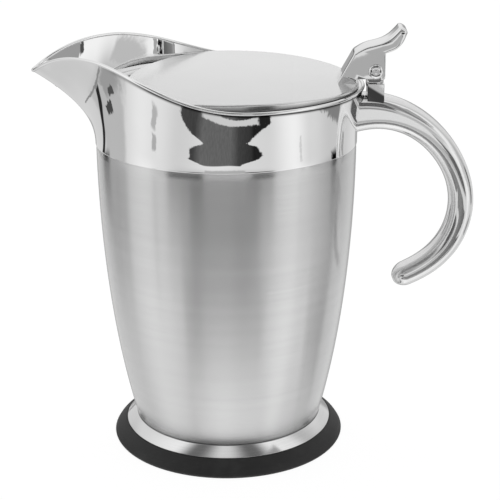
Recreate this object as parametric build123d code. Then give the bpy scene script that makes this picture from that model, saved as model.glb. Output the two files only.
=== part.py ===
"""Gravy boat with a hinged lid: a double walled steel pot on a rubber foot, with a polished
spout collar, a cast handle and a lid that a thumb lever lifts about one pin.

Units are millimetres. +Z is up, +X points to the handle, -X to the spout. The origin is on
the body's axis, at the underside of the rubber foot.
"""
from build123d import *
import os
from math import asin, atan2, cos, pi, sin, sqrt

# Body
BODY_RADIUS = 56.0            # outside, at the seam under the collar
BODY_TAPER_HEIGHT = 188.0     # height of the ellipse that the side wall follows
SEAM_HEIGHT = 136.7
BODY_BOTTOM = 11.0
SHELL_WALL = 0.8
VACUUM_GAP = 4.0              # between the outer shell and the liner
NECK_HEIGHT = 6.0             # the part of the shell that is tucked inside the collar
NECK_CLEARANCE = 0.05
FLOOR_FLANGE = 8.0            # how far the shell's floor reaches in past the foot ring

# Foot
FOOT_RING_STEP = 0.36         # how far its upper edge stands out from the wall
FOOT_RING_WIDTH = 4.0         # of its upper face
FOOT_RING_SPREAD = 4.6        # how much wider it is at the bottom
FOOT_RING_BOTTOM = 6.9
FOOT_RING_BULGE = 0.5
BASE_PLATE_CLEARANCE = 2.0    # to the foot ring's bore
BASE_PLATE_THICKNESS = 1.0
RUBBER_SPREAD = 5.4           # how much wider it is at the bottom
RUBBER_WIDTH = 6.1            # of its upper face
RUBBER_BULGE = 0.6
RUBBER_CHAMFER = 0.8

# Liner
LINER_WALL = 0.8
LINER_FLOOR_GAP = 4.2         # over the shell's floor
LINER_CORNER = 8.0

# Spout collar
COLLAR_WALL = 1.0
COLLAR_PROUD = 0.25           # how far its lower edge stands out from the body
COLLAR_HEIGHT = 25.0          # from the seam up to the rim at the back
RIM_OVERHANG = 3.1            # how much wider than the body the rim is at the back
SPOUT_LENGTH = 24.3           # from the rim's circle to the tip of the spout
SPOUT_NOSE_RADIUS = 13.2
RIM_PEAK_RISE = 15.2          # above the rim at the back
RIM_TIP_RISE = 4.7            # above the rim at the back
RIM_PEAK_SETBACK = 29.4       # from the tip of the spout
RIM_LEVEL_X = 20.0            # the rim is level behind this
RIM_RISE_POWER = 1.4
RIM_FALL_POWER = 2.3
FLARE_POWER = 1.9             # how late the wall leans out on its way up
LEDGE_THICKNESS = 0.8
LEDGE_BELOW_RIM = 0.7

# Lid
LID_CLEARANCE = 1.6           # to the collar, all round
LID_REST_GAP = 0.12           # between the closed lid and the ledge
LID_WALL = 0.8
LID_HEIGHT = 3.6              # at its middle
LID_CROWN_RADIUS = 700.0
LID_FRONT_SETBACK = 17.1      # from the rim's circle
LID_FRONT_FLATTER = 10.6      # how much larger the front edge's radius is than the back's
LID_CORNER_ROUND = 8.0        # where the front edge meets the circle
LID_EDGE_ROUND = 0.7
LID_PLATE_THICKNESS = 0.5
LID_PLATE_CLEARANCE = 0.1
DIMPLE_SETBACK = 13.0         # from the lid's front edge
DIMPLE_RADIUS = 1.6
DIMPLE_DEPTH = 0.3

# Hinge
PIN_BEHIND_RIM = 4.1
PIN_ABOVE_RIM = 6.4
PIN_RADIUS = 1.6
PIN_RUNNING_CLEARANCE = 0.05
PIN_HEAD_RADIUS = 3.1
PIN_HEAD_HEIGHT = 1.4
PIN_HEAD_GAP = 0.1
POST_FRONT = 3.2              # from the pin's axis to the post's front face
POST_BACK = 3.8               # from the pin's axis to the post's back face
SHOULDER_DROP = 5.3           # from the pin's axis down to the post's shoulder
TONGUE_WIDTH = 5.4
TONGUE_RADIUS = 3.7
CHEEK_SIDE_CLEARANCE = 0.2
CHEEK_RADIUS = 4.9            # the cheeks' lower corner, about the pin
SLOT_CLEARANCE = 0.4

# Thumb lever, as distances in X and Z from the pin's axis
LEVER_WIDTH = 15.0
LEVER_FOOT_FRONT = -17.0
LEVER_FOOT_BACK = -8.2
LEVER_BRIDGE_LEVEL = -3.3
LEVER_BRIDGE_BACK = -3.8
LEVER_BACK_REACH = 4.0        # to the cheeks' back edge
LEVER_CORNER = (-9.2, 7.3)
LEVER_TOP_LINE = [(-4.2, 10.1), (2.0, 11.9), (6.3, 14.8)]
LEVER_TIP = (9.2, 17.9)
LEVER_TIP_END = (11.7, 17.9)
LEVER_TIP_BACK = (12.8, 15.7)
LEVER_UNDER_LINE = [(11.2, 12.3), (8.1, 9.2)]
LEVER_UNDER_END_LEVEL = 7.6
LEVER_BEND_ROUND = 3.0
LEVER_EDGE_ROUND = 1.6
LEVER_REACH = 10.0            # the edges nearer to the pin than this stay sharp

# Handle, whose middle line is given from the body's side at the seam
HANDLE_LINE = [(-4.0, 12.3), (4.0, 13.2), (12.0, 12.8), (24.7, 8.1), (38.6, -5.2),
               (45.8, -24.7), (41.8, -43.7), (32.5, -54.7), (17.2, -63.1)]
HANDLE_ROOT_HALF_HEIGHT = 8.0
HANDLE_MIDDLE_HALF_HEIGHT = 5.6
HANDLE_TAIL_HALF_HEIGHT = 6.2
HANDLE_SLIMMEST = 0.5         # where the middle is, as a share of the length
HANDLE_ROOT_HALF_WIDTH = 9.3
HANDLE_TAIL_HALF_WIDTH = 7.0
HANDLE_DOME = 6.0             # length of the rounded end
HANDLE_DOME_END = 0.25        # the end's flat, as a share of its section
HANDLE_SECTIONS = 12
HANDLE_DOME_SECTIONS = 5

# How the curved walls are drawn
WALL_POINTS = 7
SECTION_POINTS = 18           # on each side of a section through the collar
SECTION_CROWDING = 1.6        # gathers those points towards the nose
COLLAR_SECTIONS = 10
RIM_POINTS = 12
ABOVE = 4.0                   # how far a cutting shape reaches past what it cuts
STEP = 0.01                   # for slopes


def wall_radius(height):
    """Radius of the body's outside: an ellipse that stands upright at the seam."""
    share = (height - SEAM_HEIGHT) / BODY_TAPER_HEIGHT
    return BODY_RADIUS * sqrt(1 - share ** 2)


# Worked out from the sizes above
FOOT_RING_TOP_RADIUS = wall_radius(BODY_BOTTOM) + FOOT_RING_STEP
FOOT_RING_RADIUS = FOOT_RING_TOP_RADIUS + FOOT_RING_SPREAD
FOOT_RING_BORE = FOOT_RING_TOP_RADIUS - FOOT_RING_WIDTH
FLOOR_OPENING_RADIUS = FOOT_RING_BORE - FLOOR_FLANGE
RUBBER_RADIUS = FOOT_RING_RADIUS + RUBBER_SPREAD
RUBBER_BORE = FOOT_RING_RADIUS - RUBBER_WIDTH
COLLAR_BASE_RADIUS = BODY_RADIUS + COLLAR_PROUD
NECK_RADIUS = COLLAR_BASE_RADIUS - COLLAR_WALL - NECK_CLEARANCE
LINER_INSET = SHELL_WALL + VACUUM_GAP
LINER_MOUTH_RADIUS = BODY_RADIUS - LINER_INSET - LINER_WALL
LINER_FLOOR_HEIGHT = BODY_BOTTOM + SHELL_WALL + LINER_FLOOR_GAP
RIM_RADIUS = BODY_RADIUS + RIM_OVERHANG
SPOUT_REACH = RIM_RADIUS + SPOUT_LENGTH
RIM_BACK_HEIGHT = SEAM_HEIGHT + COLLAR_HEIGHT
RIM_PEAK_HEIGHT = RIM_BACK_HEIGHT + RIM_PEAK_RISE
RIM_TIP_HEIGHT = RIM_BACK_HEIGHT + RIM_TIP_RISE
RIM_PEAK_X = RIM_PEAK_SETBACK - SPOUT_REACH
LEDGE_TOP = RIM_BACK_HEIGHT - LEDGE_BELOW_RIM
LEDGE_BOTTOM = LEDGE_TOP - LEDGE_THICKNESS
LID_BOTTOM = LEDGE_TOP + LID_REST_GAP
LID_TOP = LID_BOTTOM + LID_HEIGHT
LID_RADIUS = RIM_RADIUS - COLLAR_WALL - LID_CLEARANCE
LID_FRONT_X = LID_FRONT_SETBACK - RIM_RADIUS
LID_FRONT_RADIUS = LID_RADIUS + LID_FRONT_FLATTER
DIMPLE_X = LID_FRONT_X + DIMPLE_SETBACK
PIN_X = RIM_RADIUS + PIN_BEHIND_RIM
PIN_HEIGHT = RIM_BACK_HEIGHT + PIN_ABOVE_RIM
SLOT_RADIUS = TONGUE_RADIUS + SLOT_CLEARANCE
CUT_REACH = 2 * SPOUT_REACH


def save(name, shape):
    """Write one sub-part, as one solid under its node's name."""
    solid = Solid(shape.solids()[0].wrapped)
    solid.label = name
    export_step(solid, os.path.join("parts", name + ".step"))
    return solid


def flat(radius, height):
    """A point of an outline in the XZ plane."""
    return (radius, 0, height)


def closed(lines):
    """The face inside a closed outline."""
    edges = [edge for line in lines for edge in line.edges()]
    return make_face(Wire(edges))


def revolved(*lines):
    """Turn a closed outline in the XZ plane about the body's axis."""
    return revolve(closed(lines), Axis.Z)


def across(width, *lines):
    """Carry a closed outline in the XZ plane to both sides of it, width in all."""
    face = Pos(0, -width / 2, 0) * closed(lines)
    return extrude(face, amount=width, dir=(0, 1, 0))


def slab(low, high, width):
    """A block between two corners of the XZ plane, width in all and centred on it."""
    size = (high[0] - low[0], width, high[1] - low[1])
    return Pos((low[0] + high[0]) / 2, 0, (low[1] + high[1]) / 2) * Box(*size)


def pin_cylinder(radius, width):
    """A cylinder on the pin's axis, width in all."""
    return Pos(PIN_X, 0, PIN_HEIGHT) * Rot(X=90) * Cylinder(radius, width)


def from_pin(point):
    """A point of an outline in the XZ plane, given from the pin's axis."""
    return flat(PIN_X + point[0], PIN_HEIGHT + point[1])


def disc(radius, low, high, centre=(0, 0)):
    """An upright cylinder between two heights."""
    place = Pos(centre[0], centre[1], (low + high) / 2)
    return place * Cylinder(radius, high - low)


def wall_curve(inset, low, high):
    """The side wall between two heights, moved inwards by inset."""
    heights = [low + (high - low) * i / (WALL_POINTS - 1) for i in range(WALL_POINTS)]
    return Spline([flat(wall_radius(height) - inset, height) for height in heights])


def bulged(start, end, bulge):
    """A shallow arc between two points of an outline, pushed outwards by bulge."""
    middle = flat((start[0] + end[0]) / 2 + bulge, (start[2] + end[2]) / 2)
    return ThreePointArc(start, middle, end)


# Body and foot

def outer_shell():
    """The tapered steel wall, with a floor flange and a neck that the collar covers."""
    floor_top = BODY_BOTTOM + SHELL_WALL
    step_height = SEAM_HEIGHT - SHELL_WALL
    outer = wall_curve(0, BODY_BOTTOM, SEAM_HEIGHT)
    inner = wall_curve(SHELL_WALL, floor_top, step_height)
    neck = Polyline(
        outer @ 1,
        flat(NECK_RADIUS, SEAM_HEIGHT),
        flat(NECK_RADIUS, SEAM_HEIGHT + NECK_HEIGHT),
        flat(NECK_RADIUS - SHELL_WALL, SEAM_HEIGHT + NECK_HEIGHT),
        flat(NECK_RADIUS - SHELL_WALL, step_height),
        inner @ 1)
    floor = Polyline(
        inner @ 0,
        flat(FLOOR_OPENING_RADIUS, floor_top),
        flat(FLOOR_OPENING_RADIUS, BODY_BOTTOM),
        outer @ 0)
    return revolved(outer, neck, inner, floor)


def foot_ring():
    """The steel ring that widens from the body to the rubber foot."""
    low = flat(FOOT_RING_RADIUS, FOOT_RING_BOTTOM)
    high = flat(FOOT_RING_TOP_RADIUS, BODY_BOTTOM)
    side = bulged(low, high, FOOT_RING_BULGE)
    inside = Polyline(
        high,
        flat(FOOT_RING_BORE, BODY_BOTTOM),
        flat(FOOT_RING_BORE, FOOT_RING_BOTTOM),
        low)
    return revolved(side, inside)


def base_plate():
    """The disc that closes the opening in the shell's floor."""
    radius = FOOT_RING_BORE - BASE_PLATE_CLEARANCE
    return disc(radius, BODY_BOTTOM - BASE_PLATE_THICKNESS, BODY_BOTTOM)


def rubber_foot():
    """The wide rubber ring that the pot stands on."""
    low = flat(RUBBER_RADIUS, RUBBER_CHAMFER)
    high = flat(FOOT_RING_RADIUS, FOOT_RING_BOTTOM)
    side = bulged(low, high, RUBBER_BULGE)
    inside = Polyline(
        high,
        flat(RUBBER_BORE, FOOT_RING_BOTTOM),
        flat(RUBBER_BORE, 0),
        flat(RUBBER_RADIUS - RUBBER_CHAMFER, 0),
        low)
    return revolved(side, inside)


def liner_side(inset, floor):
    """One face of the liner in outline: floor, rounded corner, side and straight mouth."""
    corner_top = floor + LINER_CORNER
    side = wall_curve(inset, corner_top, SEAM_HEIGHT)
    centre_radius = (side @ 0).X - LINER_CORNER
    reach = LINER_CORNER * cos(pi / 4)
    middle = flat(centre_radius + reach, corner_top - reach)
    corner = ThreePointArc(flat(centre_radius, floor), middle, side @ 0)
    bottom = Line(flat(0, floor), corner @ 0)
    mouth = Line(side @ 1, flat(BODY_RADIUS - inset, LEDGE_BOTTOM))
    return bottom, corner, side, mouth


def inner_liner():
    """The vessel that holds the gravy."""
    outer = liner_side(LINER_INSET, LINER_FLOOR_HEIGHT)
    inner = liner_side(LINER_INSET + LINER_WALL, LINER_FLOOR_HEIGHT + LINER_WALL)
    lip = Line(outer[-1] @ 1, inner[-1] @ 1)
    middle = Line(outer[0] @ 0, inner[0] @ 0)
    return revolved(*outer, lip, *inner, middle)


# Spout collar

def rim_reach(angle):
    """Plan distance from the axis to the rim, at an angle from the spout's direction.

    The plan is a circle at the back, a smaller circle at the nose, and the straight lines
    that touch both.
    """
    nose_centre = SPOUT_REACH - SPOUT_NOSE_RADIUS
    flank = pi / 2 - asin((RIM_RADIUS - SPOUT_NOSE_RADIUS) / nose_centre)
    nose_end = atan2(SPOUT_NOSE_RADIUS * sin(flank),
                     nose_centre + SPOUT_NOSE_RADIUS * cos(flank))
    if angle < nose_end:
        sideways = nose_centre * sin(angle)
        return nose_centre * cos(angle) + sqrt(SPOUT_NOSE_RADIUS ** 2 - sideways ** 2)
    if angle < flank:
        return RIM_RADIUS / cos(flank - angle)
    return RIM_RADIUS


def rim_height(x):
    """Height of the rim: level at the back, up to a peak over the spout, down to its tip."""
    if x > RIM_PEAK_X:
        share = max(0, (RIM_LEVEL_X - x) / (RIM_LEVEL_X - RIM_PEAK_X)) ** RIM_RISE_POWER
        rise = share ** 2 * (3 - 2 * share)
        return RIM_BACK_HEIGHT + (RIM_PEAK_HEIGHT - RIM_BACK_HEIGHT) * rise
    share = (RIM_PEAK_X - x) / (SPOUT_REACH + RIM_PEAK_X)
    fall = min(1, share) ** RIM_FALL_POWER
    return RIM_PEAK_HEIGHT - (RIM_PEAK_HEIGHT - RIM_TIP_HEIGHT) * fall


def collar_radius(angle, height):
    """Radius of the collar's outside: upright at the seam, leaning out more and more."""
    reach = rim_reach(angle)
    rise = rim_height(-reach * cos(angle)) - SEAM_HEIGHT
    share = max(0, height - SEAM_HEIGHT) / rise
    return COLLAR_BASE_RADIUS + (reach - COLLAR_BASE_RADIUS) * share ** FLARE_POWER


def collar_section(height, inset):
    """A level section through the collar, a wall thickness in from its outside."""
    points = []
    for i in range(-SECTION_POINTS, SECTION_POINTS):
        angle = pi * (abs(i) / SECTION_POINTS) ** SECTION_CROWDING
        radius = collar_radius(angle, height)
        climb = (collar_radius(angle, height + STEP) - radius) / STEP
        turn = (collar_radius(angle + STEP, height) - radius) / STEP / radius
        radius -= inset * sqrt(1 + climb ** 2 + turn ** 2)
        side = 1 if i > 0 else -1
        points.append((-radius * cos(angle), side * radius * sin(angle), height))
    return Wire([Edge.make_spline([Vector(*point) for point in points], periodic=True)])


def collar_block(inset, low, high):
    """All that is inside the collar's wall between two heights."""
    heights = [low + (high - low) * i / (COLLAR_SECTIONS - 1) for i in range(COLLAR_SECTIONS)]
    return Solid.make_loft([collar_section(height, inset) for height in heights])


def above_rim():
    """All that is over the rim, as a block whose underside follows the rim's height."""
    length = SPOUT_REACH + RIM_LEVEL_X
    run = [-SPOUT_REACH + length * i / RIM_POINTS for i in range(RIM_POINTS + 1)]
    line = Spline([flat(x, rim_height(x)) for x in run])
    roof = RIM_PEAK_HEIGHT + 2 * ABOVE
    rest = Polyline(
        line @ 1,
        flat(CUT_REACH, RIM_BACK_HEIGHT),
        flat(CUT_REACH, roof),
        flat(-CUT_REACH, roof),
        flat(-CUT_REACH, RIM_TIP_HEIGHT),
        line @ 0)
    return across(2 * CUT_REACH, line, rest)


def spout_collar():
    """The polished upper wall, which leans out into the spout."""
    top = RIM_PEAK_HEIGHT + ABOVE
    wall = collar_block(0, SEAM_HEIGHT, top)
    room = collar_block(COLLAR_WALL, SEAM_HEIGHT - ABOVE, top + ABOVE)
    return wall - room - above_rim()


def pour_ledge():
    """The flat ring that joins the liner's mouth to the collar and carries the lid."""
    room = collar_block(COLLAR_WALL, SEAM_HEIGHT - ABOVE, RIM_PEAK_HEIGHT)
    ring = disc(CUT_REACH, LEDGE_BOTTOM, LEDGE_TOP)
    mouth = disc(LINER_MOUTH_RADIUS, LEDGE_BOTTOM - ABOVE, LEDGE_TOP + ABOVE)
    return (room & ring) - mouth


# Lid

def lid_outline(inset, low, high):
    """The lid's plan as a block: a circle that a wider arc cuts off at the front."""
    front_centre = LID_FRONT_X + LID_FRONT_RADIUS
    back = disc(LID_RADIUS - inset, low, high)
    front = disc(LID_FRONT_RADIUS - inset, low, high, (front_centre, 0))
    plan = back & front
    return fillet(plan.edges().filter_by(Axis.Z), LID_CORNER_ROUND - inset)


def crown(inset):
    """All that is under the lid's crowned top, which curves from front to back."""
    radius = LID_CROWN_RADIUS - inset
    roll = Rot(X=90) * Cylinder(radius, 2 * CUT_REACH)
    return Pos(0, 0, LID_TOP - LID_CROWN_RADIUS) * roll


def lid_shell():
    """The lid's polished top, with its edge turned down."""
    block = lid_outline(0, LID_BOTTOM, LID_TOP + ABOVE) & crown(0)
    block = fillet(block.faces().sort_by(Axis.Z)[-1].edges(), LID_EDGE_ROUND)
    room = lid_outline(LID_WALL, LID_BOTTOM - ABOVE, LID_TOP + ABOVE) & crown(LID_WALL)
    ball = (DIMPLE_RADIUS ** 2 + DIMPLE_DEPTH ** 2) / (2 * DIMPLE_DEPTH)
    surface = LID_TOP - DIMPLE_X ** 2 / (2 * LID_CROWN_RADIUS)
    dimple = Pos(DIMPLE_X, 0, surface + ball - DIMPLE_DEPTH) * Sphere(ball)
    return block - room - dimple


def lid_plate():
    """The flat disc that closes the lid from below."""
    high = LID_BOTTOM + LID_PLATE_THICKNESS
    return lid_outline(LID_WALL + LID_PLATE_CLEARANCE, LID_BOTTOM, high)


def lever_block():
    """The lever before its slot: foot, sloping front, top, thumb pad and cheeks."""
    middle = CHEEK_RADIUS * cos(pi / 4)
    back_drop = sqrt(CHEEK_RADIUS ** 2 - LEVER_BACK_REACH ** 2)
    under_end = (LEVER_BACK_REACH, LEVER_UNDER_END_LEVEL)
    foot_back = PIN_X + LEVER_FOOT_BACK
    top = Spline([from_pin(point) for point in [LEVER_CORNER, *LEVER_TOP_LINE, LEVER_TIP]])
    tip = ThreePointArc(*[from_pin(point) for point in [LEVER_TIP, LEVER_TIP_END, LEVER_TIP_BACK]])
    under = Spline([from_pin(point) for point in [LEVER_TIP_BACK, *LEVER_UNDER_LINE, under_end]])
    back = Line(under @ 1, from_pin((LEVER_BACK_REACH, -back_drop)))
    corner = ThreePointArc(back @ 1, from_pin((middle, -middle)), from_pin((0, -CHEEK_RADIUS)))
    rest = Polyline(
        corner @ 1,
        from_pin((LEVER_BRIDGE_BACK, -CHEEK_RADIUS)),
        from_pin((LEVER_BRIDGE_BACK, LEVER_BRIDGE_LEVEL)),
        from_pin((LEVER_FOOT_BACK, LEVER_BRIDGE_LEVEL)),
        flat(foot_back, LID_BOTTOM),
        flat(PIN_X + LEVER_FOOT_FRONT, LID_BOTTOM),
        from_pin(LEVER_CORNER))
    return across(LEVER_WIDTH, top, tip, under, back, corner, rest)


def rounded_lever(block):
    """The lever with a rounded bend, and with soft edges all along its top and thumb pad."""
    bend = block.edges().filter_by(Axis.Y).sort_by_distance(from_pin(LEVER_CORNER))[0]
    block = fillet(bend, LEVER_BEND_ROUND)
    above_lid = [edge for edge in block.edges() if edge.center().Z > LID_TOP + ABOVE]
    sides = [edge for edge in above_lid if abs(edge.center().Y) > LEVER_WIDTH / 4]
    pin = Vector(PIN_X, 0, PIN_HEIGHT)
    outer = [edge for edge in sides if distance_in_side_view(edge.center(), pin) > LEVER_REACH]
    return fillet(outer, LEVER_EDGE_ROUND)


def distance_in_side_view(first, second):
    """How far apart two points are, seen along Y."""
    return sqrt((first.X - second.X) ** 2 + (first.Z - second.Z) ** 2)


def thumb_lever():
    """The lever that is welded to the lid, with two cheeks that hold the pin."""
    slot_width = TONGUE_WIDTH + 2 * CHEEK_SIDE_CLEARANCE
    slot_low = (PIN_X - SLOT_RADIUS, LID_BOTTOM)
    slot_high = (PIN_X + 2 * LEVER_BACK_REACH, PIN_HEIGHT)
    slot = slab(slot_low, slot_high, slot_width)
    behind = slab((PIN_X, PIN_HEIGHT - ABOVE), (slot_high[0], PIN_HEIGHT + SLOT_RADIUS), slot_width)
    round_top = pin_cylinder(SLOT_RADIUS, slot_width)
    bore = pin_cylinder(PIN_RADIUS + PIN_RUNNING_CLEARANCE, 2 * LEVER_WIDTH)
    lid_top = lid_outline(0, LID_BOTTOM - ABOVE, LID_TOP + ABOVE) & crown(0)
    return rounded_lever(lever_block()) - slot - behind - round_top - bore - lid_top


# Handle and hinge post

def handle_shape():
    """The cast handle before it is fitted to the collar: oval sections along a curved line."""
    line = Spline([flat(BODY_RADIUS + x, SEAM_HEIGHT + z) for x, z in HANDLE_LINE])
    dome_start = 1 - HANDLE_DOME / line.length
    shares = [dome_start * i / (HANDLE_SECTIONS - 1) for i in range(HANDLE_SECTIONS)]
    sizes = [1] * HANDLE_SECTIONS
    for i in range(1, HANDLE_DOME_SECTIONS + 1):
        turn = (pi / 2) * i / HANDLE_DOME_SECTIONS
        shares.append(dome_start + (1 - dome_start) * sin(turn))
        sizes.append(max(cos(turn), HANDLE_DOME_END))
    sections = []
    for share, size in zip(shares, sizes):
        plane = Plane(line @ share, x_dir=(0, 1, 0), z_dir=line % share)
        width = HANDLE_ROOT_HALF_WIDTH + (HANDLE_TAIL_HALF_WIDTH - HANDLE_ROOT_HALF_WIDTH) * share
        sections.append(plane * Ellipse(width * size, handle_half_height(share) * size))
    return loft(sections)


def handle_half_height(share):
    """Half the handle's depth, from the root through the slimmer middle to the tail."""
    if share < HANDLE_SLIMMEST:
        end = HANDLE_ROOT_HALF_HEIGHT
        away = 1 - share / HANDLE_SLIMMEST
    else:
        end = HANDLE_TAIL_HALF_HEIGHT
        away = (share - HANDLE_SLIMMEST) / (1 - HANDLE_SLIMMEST)
    return HANDLE_MIDDLE_HALF_HEIGHT + (end - HANDLE_MIDDLE_HALF_HEIGHT) * away ** 2


def handle():
    """The handle, with its root shaped to the collar that it is welded to."""
    pot = collar_block(0, SEAM_HEIGHT, RIM_BACK_HEIGHT)
    return handle_shape() - pot


def hinge_post():
    """The post on the handle's root, with a shoulder and a round-topped tongue."""
    root_height = SEAM_HEIGHT + HANDLE_LINE[1][1]
    shoulder = PIN_HEIGHT - SHOULDER_DROP
    foot = slab((PIN_X - POST_FRONT, root_height), (PIN_X + POST_BACK, shoulder), LEVER_WIDTH)
    tongue_low = (PIN_X - TONGUE_RADIUS, shoulder)
    tongue = slab(tongue_low, (PIN_X + TONGUE_RADIUS, PIN_HEIGHT), TONGUE_WIDTH)
    top = pin_cylinder(TONGUE_RADIUS, TONGUE_WIDTH)
    bore = pin_cylinder(PIN_RADIUS, 2 * LEVER_WIDTH)
    return foot + tongue + top - bore - handle_shape()


def pin_head(side):
    """One domed head of the pin, a cap cut from a ball."""
    seat = LEVER_WIDTH / 2 + PIN_HEAD_GAP
    ball = (PIN_HEAD_RADIUS ** 2 + PIN_HEAD_HEIGHT ** 2) / (2 * PIN_HEAD_HEIGHT)
    centre = seat + PIN_HEAD_HEIGHT - ball
    size = 2 * ball
    outside = Pos(PIN_X, side * (seat + ball), PIN_HEIGHT) * Box(size, size, size)
    return (Pos(PIN_X, side * centre, PIN_HEIGHT) * Sphere(ball)) & outside


def hinge_pin():
    """The pin that the lid turns on, riveted over into a domed head at each end."""
    shaft = pin_cylinder(PIN_RADIUS, LEVER_WIDTH + 2 * PIN_HEAD_GAP)
    return shaft + pin_head(1) + pin_head(-1)


PARTS = [outer_shell, foot_ring, base_plate, rubber_foot, inner_liner, spout_collar, pour_ledge,
         lid_shell, lid_plate, thumb_lever, handle, hinge_post, hinge_pin]

os.makedirs("parts", exist_ok=True)
for make in PARTS:
    save(make.__name__, make())
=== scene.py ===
"""Looks for the gravy boat with a hinged lid: polished and brushed steel on a rubber foot.

Shapes are worked out in millimetres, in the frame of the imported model: +Z up, +X to the handle,
-X to the spout, origin on the body's axis at the underside of the rubber. They become metres when
a mesh is made.
"""
from math import asin, atan2, cos, pi, radians, sin, sqrt

import bpy
import numpy as np
from mathutils import Euler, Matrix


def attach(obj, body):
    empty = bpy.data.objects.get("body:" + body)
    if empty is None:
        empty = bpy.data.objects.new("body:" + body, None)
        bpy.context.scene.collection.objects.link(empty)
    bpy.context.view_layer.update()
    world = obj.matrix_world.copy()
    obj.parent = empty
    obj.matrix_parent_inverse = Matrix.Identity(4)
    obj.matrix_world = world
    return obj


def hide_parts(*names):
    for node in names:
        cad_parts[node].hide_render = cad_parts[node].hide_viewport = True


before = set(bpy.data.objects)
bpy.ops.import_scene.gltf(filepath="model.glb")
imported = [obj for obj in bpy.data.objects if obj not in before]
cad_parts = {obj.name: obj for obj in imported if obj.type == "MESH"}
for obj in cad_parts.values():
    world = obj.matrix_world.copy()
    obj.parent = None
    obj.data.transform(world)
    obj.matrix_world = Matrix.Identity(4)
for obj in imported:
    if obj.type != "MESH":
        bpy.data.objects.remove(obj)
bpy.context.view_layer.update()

MM = 0.001

# Body and foot
BODY_RADIUS = 56.0
BODY_TAPER_HEIGHT = 188.0
SEAM_HEIGHT = 136.7
BODY_BOTTOM = 11.0
SHELL_WALL = 0.8
NECK_RADIUS = 55.2
NECK_HEIGHT = 6.0
SHOULDER_HEIGHT = 3.2
SHOULDER_DRAW = 0.3
FLOOR_OPENING = 30.0
LINER_INSET = 4.8
LINER_WALL = 0.8
LINER_FLOOR = 16.0
LINER_CORNER = 8.0

# Spout collar
COLLAR_BASE_RADIUS = 56.25
COLLAR_WALL = 0.8
RIM_RADIUS = 59.1
SPOUT_REACH = 83.4
NOSE_RADIUS = 13.2
NOSE_CENTRE = SPOUT_REACH - NOSE_RADIUS
RIM_BACK_HEIGHT = 161.7
RIM_PEAK_HEIGHT = 176.9
RIM_TIP_HEIGHT = 166.4
RIM_PEAK_X = -54.0
RIM_LEVEL_X = 20.0
RIM_RISE_POWER = 1.4
RIM_FALL_POWER = 2.3
FLARE_POWER = 1.9
BEAD_RADIUS = 0.75
BEAD_PROUD = 0.35
COLLAR_FOOT_ROWS = 5
COLLAR_WALL_ROWS = 63
LEDGE_TOP = 161.0
LEDGE_BOTTOM = 160.2
LEDGE_INTO_WALL = 0.05
MOUTH_RADIUS = 50.4
MOUTH_LIP = 2.6

# Lid
LID_RADIUS = 56.5
LID_BOTTOM = 161.12
LID_TOP = 164.72
LID_CROWN_RADIUS = 700.0
LID_FRONT_CENTRE = 25.1
LID_FRONT_RADIUS = 67.1
LID_CORNER_SOFTNESS = 0.9
LID_WALL = 0.8
LID_EDGE_ROUND = 0.9
LID_TOP_ROWS = 145
LID_EDGE_ROWS = 8
DIMPLE_X = -29.0
DIMPLE_RADIUS = 1.2
DIMPLE_DEPTH = 0.32

# Hinge, lever and handle
PIN_X = 63.2
PIN_HEIGHT = 168.1
PIN_RADIUS = 1.6
PIN_HEAD_RADIUS = 3.1
PIN_HEAD_HEIGHT = 1.4
TONGUE_HALF_WIDTH = 2.7
TONGUE_RADIUS = 3.7
POST_SHOULDER = 162.8
SLOT_HALF_WIDTH = 2.9
SLOT_RADIUS = 4.1
SLOT_TOP = 172.2
LEVER_HALF_WIDTH = 7.5
CHEEK_BACK_X = 67.2
CHEEK_RADIUS = 4.9
LEVER_OVER_RIM = 164.8
LEVER_FOOT_FRONT = 46.2
LEVER_FOOT_BACK = 55.0
LEVER_TOP_LINE = [(54.0, 175.4), (59.0, 178.2), (65.2, 180.0), (69.5, 182.9), (72.4, 186.0)]
LEVER_UNDER_LINE = [(76.0, 183.8), (74.4, 180.4), (71.3, 177.3), (67.2, 175.7)]
LEVER_TIP_BULGE = 0.52
LEVER_BEND_ROUND = 3.0
HANDLE_LINE = [(54.4, 149.3), (60.0, 149.9), (68.0, 149.5), (80.7, 144.8), (94.6, 131.5),
               (101.8, 112.0), (97.8, 93.0), (88.5, 82.0), (73.2, 73.6)]
HANDLE_HALF_DEPTHS = 8.0, 5.4, 4.8
HANDLE_HALF_WIDTHS = 9.3, 7.0
HANDLE_DOME = 6.4

# Camera
LENS = 101.29
CAMERA_PLACE = 30.69, -589.96, 287.91
CAMERA_TURN = 2.0
CAMERA_TILT = 71.133
CAMERA_ROLL = -0.105


# Shader maths

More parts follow.
